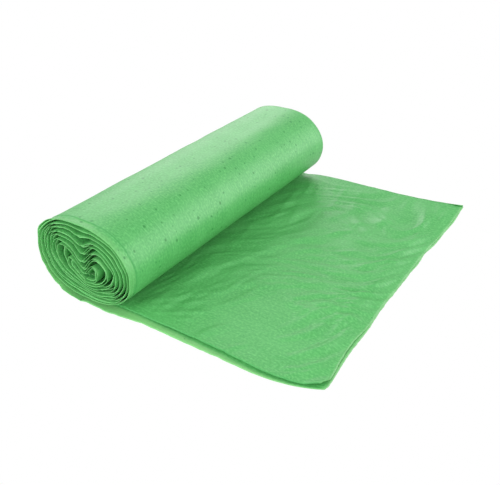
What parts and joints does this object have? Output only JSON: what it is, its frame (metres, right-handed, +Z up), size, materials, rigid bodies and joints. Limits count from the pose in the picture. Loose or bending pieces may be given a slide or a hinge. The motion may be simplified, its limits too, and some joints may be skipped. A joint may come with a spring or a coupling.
{
  "type": "bin bag roll",
  "caption": "Squashed coreless roll of folded film waste bags, partly unrolled so that one torn-edged length lies flat in front of it.",
  "frame": {"origin": "on the surface it rests on, under the middle of the roll", "axes": "+Y along the roll's axis away from its stepped near end, +X the way the loose tail lies, +Z up"},
  "size_m": [0.1816, 0.215, 0.0506],
  "materials": {
    "film": "satin, slightly translucent thin film"
  },
  "bodies": {
    "root": {"bag_roll": "film"}
  },
  "joints": []
}
